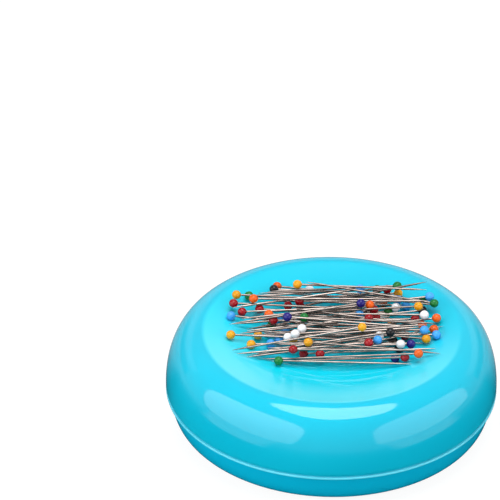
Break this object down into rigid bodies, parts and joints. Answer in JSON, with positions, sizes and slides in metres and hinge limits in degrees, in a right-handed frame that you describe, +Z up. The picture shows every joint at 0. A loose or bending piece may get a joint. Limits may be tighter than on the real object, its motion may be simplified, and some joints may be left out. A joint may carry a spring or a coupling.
{
  "type": "magnetic pin bowl",
  "caption": "Round plastic bowl with a shallow dish, a ring magnet under the dish and a heap of ball-head sewing pins lying on it.",
  "frame": {"origin": "middle of the foot on the table", "axes": "+Z up through the dish, +Y away from the front of the heap, pins lie along X"},
  "size_m": [0.11, 0.11, 0.0435],
  "materials": {
    "bowl_plastic": "glossy sky-blue moulding",
    "ferrite": "dark grey sintered ferrite",
    "foam": "black closed-cell foam",
    "pin_steel": "drawn nickel-plated wire",
    "head_red": "glossy crimson plastic",
    "head_orange": "glossy orange plastic",
    "head_yellow": "glossy yellow plastic",
    "head_green": "glossy green plastic",
    "head_sky": "glossy light blue plastic",
    "head_navy": "glossy dark blue plastic",
    "head_white": "glossy white plastic",
    "head_black": "glossy black plastic"
  },
  "bodies": {
    "bowl": {"top_shell": "bowl_plastic", "base_shell": "bowl_plastic", "ring_magnet": "ferrite", "foam_ring": "foam"},
    "pin_heap": {"red_pin_shafts": "pin_steel", "red_pin_heads": "head_red", "orange_pin_shafts": "pin_steel", "orange_pin_heads": "head_orange", "yellow_pin_shafts": "pin_steel", "yellow_pin_heads": "head_yellow", "green_pin_shafts": "pin_steel", "green_pin_heads": "head_green", "sky_pin_shafts": "pin_steel", "sky_pin_heads": "head_sky", "navy_pin_shafts": "pin_steel", "navy_pin_heads": "head_navy", "white_pin_shafts": "pin_steel", "white_pin_heads": "head_white", "black_pin_shafts": "pin_steel", "black_pin_heads": "head_black"},
    "loose_green_pin": {"loose_green_pin_shaft": "pin_steel", "loose_green_pin_head": "head_green"},
    "loose_yellow_pin": {"loose_yellow_pin_shaft": "pin_steel", "loose_yellow_pin_head": "head_yellow"},
    "loose_red_pin": {"loose_red_pin_shaft": "pin_steel", "loose_red_pin_head": "head_red"}
  },
  "joints": [
    {"name": "heap_lift", "type": "slide", "parent": "bowl", "child": "pin_heap", "axis": [0, 0, 1], "range_m": [0, 0.04]},
    {"name": "loose_green_pin_lift", "type": "slide", "parent": "pin_heap", "child": "loose_green_pin", "axis": [0, 0, 1], "range_m": [0, 0.04]},
    {"name": "loose_yellow_pin_lift", "type": "slide", "parent": "pin_heap", "child": "loose_yellow_pin", "axis": [0, 0, 1], "range_m": [0, 0.04]},
    {"name": "loose_red_pin_lift", "type": "slide", "parent": "pin_heap", "child": "loose_red_pin", "axis": [0, 0, 1], "range_m": [0, 0.04]}
  ]
}
